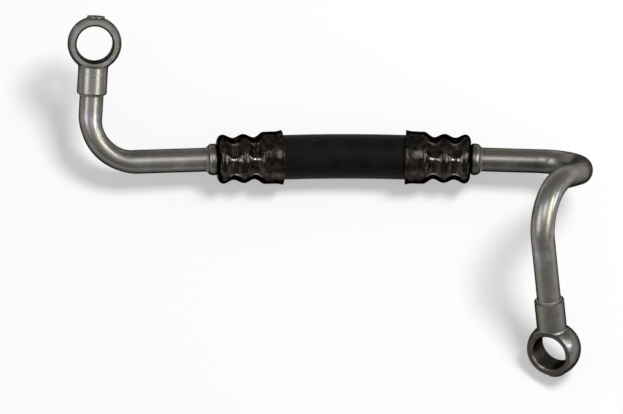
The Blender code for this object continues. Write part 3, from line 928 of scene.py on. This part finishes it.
for end in "ab":
    rim = advance(heads[end], -banjo["neckReach"][end]) @ Matrix.Rotation(math.pi, 4, "X")
    collarRim = advance(lips[end], route["collarTop"])
    finish(ferrules[end], ferruleFinish, lips[end], "ferrule_" + end, sharp=50)
    finish(makeBanjo(end), headFinishes[end], heads[end], "banjo_" + end)
    finish(makeStem(end), stemFinish, lips[end], "stem_" + end)
    finish(makePipe(end), pipeFinish, Matrix.Identity(4), "pipe_" + end, sharp=60)
    finish(makeBead("Banjo", end), brazeFinish, rim, "braze_banjo_" + end)
    finish(makeBead("Stem", end), brazeFinish, collarRim, "braze_stem_" + end)
finish(makeCover(), coverFinish, Matrix.Identity(4), "hose_cover", sharp=60)

# The liner and the braid stay as they were packed, inside the cover
for node, material in (("hose_liner", linerFinish), ("hose_braid", braidFinish)):
    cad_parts[node].material_slots[0].material = material
print("pieces made")


# Camera, at the photograph's angle; it looks down on the line from far off
camera = {
    "elevation": 69.62,
    "azimuth": -10.10,  # from -Y towards +X
    "roll": 9.43,
    "aim": (-6.07, -1.89, 12.90),  # what stands in the middle of the picture, in mm
    "distance": 5000.0,
    "pixelsPerMm": 3.005,
    "photoWidth": 623,
    "sensorWidth": 36.0,
}
elevation = math.radians(camera["elevation"])
azimuth = math.radians(camera["azimuth"])
towards = Vector((math.sin(azimuth) * math.cos(elevation), -math.cos(azimuth) * math.cos(elevation),
                  math.sin(elevation)))
aim = Vector(camera["aim"]) * mm
view = towards.to_track_quat("Z", "Y").to_matrix().to_4x4()
view = view @ Matrix.Rotation(math.radians(camera["roll"]), 4, "Z")
cameraData = bpy.data.cameras.new("camera")
cameraData.sensor_width = camera["sensorWidth"]
cameraData.lens = camera["sensorWidth"] * camera["distance"] * camera["pixelsPerMm"] / camera["photoWidth"]
cameraData.clip_start = 0.05
cameraData.clip_end = 20.0
cameraPiece = bpy.data.objects.new("camera", cameraData)
cameraPiece.matrix_world = Matrix.Translation(aim + towards * camera["distance"] * mm) @ view
bpy.context.scene.collection.objects.link(cameraPiece)
bpy.context.scene.camera = cameraPiece

# Soft boxes, placed by the camera's right, up and back. The window lights everything and casts the
# soft shadow down to the left. The others only mirror in the metal: the wide ones as its bands of
# light, and the small ones as the bright spots on its bends
softBoxes = {
    "window": {"direction": (0.40, 0.50, 0.77), "distance": 1800, "size": (540, 540), "watts": 25.5,
               "colour": "#ffffff", "mirrored": False},
    "card": {"direction": (-0.03, 0.25, 0.97), "distance": 900, "size": (320, 460), "watts": 1.7,
             "colour": "#ffffff", "mirrored": True},
    "right": {"direction": (0.66, 0.0, 0.75), "distance": 1200, "size": (460, 640), "watts": 5.6,
              "colour": "#fffdf2", "mirrored": True},
    "left": {"direction": (-0.70, 0.0, 0.71), "distance": 1200, "size": (500, 640), "watts": 3.8,
             "colour": "#f2f4ff", "mirrored": True},
    "rightSpot": {"direction": (0.629, 0.342, 0.698), "distance": 1200, "size": (90, 90), "watts": 1.8,
                  "colour": "#ffffff", "mirrored": True},
    "leftSpot": {"direction": (-0.676, 0.342, 0.653), "distance": 1200, "size": (90, 90), "watts": 0.8,
                 "colour": "#ffffff", "mirrored": True},
    "side": {"direction": (0.925, 0.174, 0.337), "distance": 1200, "size": (250, 250), "watts": 2.5,
             "colour": "#e6eeff", "mirrored": True},
}
for name, box in softBoxes.items():
    lamp = bpy.data.lights.new(name, "AREA")
    lamp.shape = "RECTANGLE"
    lamp.size, lamp.size_y = (side * mm for side in box["size"])
    lamp.energy = box["watts"]
    lamp.color = linear(box["colour"])[:3]
    direction = (view.to_3x3() @ Vector(box["direction"])).normalized()
    across = view.col[1].to_3d().cross(direction).normalized()
    facing = Matrix((across, direction.cross(across), direction)).transposed().to_4x4()
    lampPiece = bpy.data.objects.new(name, lamp)
    lampPiece.matrix_world = Matrix.Translation(aim + direction * box["distance"] * mm) @ facing
    lampPiece.visible_glossy = box["mirrored"]
    lampPiece.visible_diffuse = not box["mirrored"]
    bpy.context.scene.collection.objects.link(lampPiece)

# Even pale room light
room = {"colour": "#ffffff", "strength": 0.27}
world = bpy.data.worlds.new("room")
bpy.context.scene.world = world
world.use_nodes = True
background = world.node_tree.nodes["Background"]
background.inputs["Color"].default_value = linear(room["colour"])
background.inputs["Strength"].default_value = room["strength"]

# Floor of matt pale board. It glows for the camera and in the metal alone, which makes it white there
floor = {"size": 12000.0, "colour": "#c9c9c9", "glow": 0.42}
edge = floor["size"] / 2 * mm
board = meshPiece("floor", [(-edge, -edge, 0), (edge, -edge, 0), (edge, edge, 0), (-edge, edge, 0)],
                  [(0, 0, 0)] * 4, [(0, 1, 2, 3)])
boardFinish, boardShader = newMaterial("mattPaleBoard", 0.0, 1.0)
boardShader.inputs["Base Color"].default_value = linear(floor["colour"])
boardShader.inputs["Specular IOR Level"].default_value = 0.0
lightPath = addNode(boardFinish, "ShaderNodeLightPath")
mirrored = addNode(boardFinish, "ShaderNodeMath",
                   {0: lightPath.outputs["Is Glossy Ray"], 1: lightPath.outputs["Is Transmission Ray"]},
                   operation="MAXIMUM")
seen = addNode(boardFinish, "ShaderNodeMath",
               {0: lightPath.outputs["Is Camera Ray"], 1: mirrored.outputs["Value"]}, operation="MAXIMUM")
glow = addNode(boardFinish, "ShaderNodeMath", {0: seen.outputs["Value"], 1: floor["glow"]},
               operation="MULTIPLY")
boardShader.inputs["Emission Color"].default_value = linear("#ffffff")
boardFinish.node_tree.links.new(glow.outputs["Value"], boardShader.inputs["Emission Strength"])
board.data.materials.append(boardFinish)

bpy.context.scene.view_settings.view_transform = "Standard"

print("scene done")
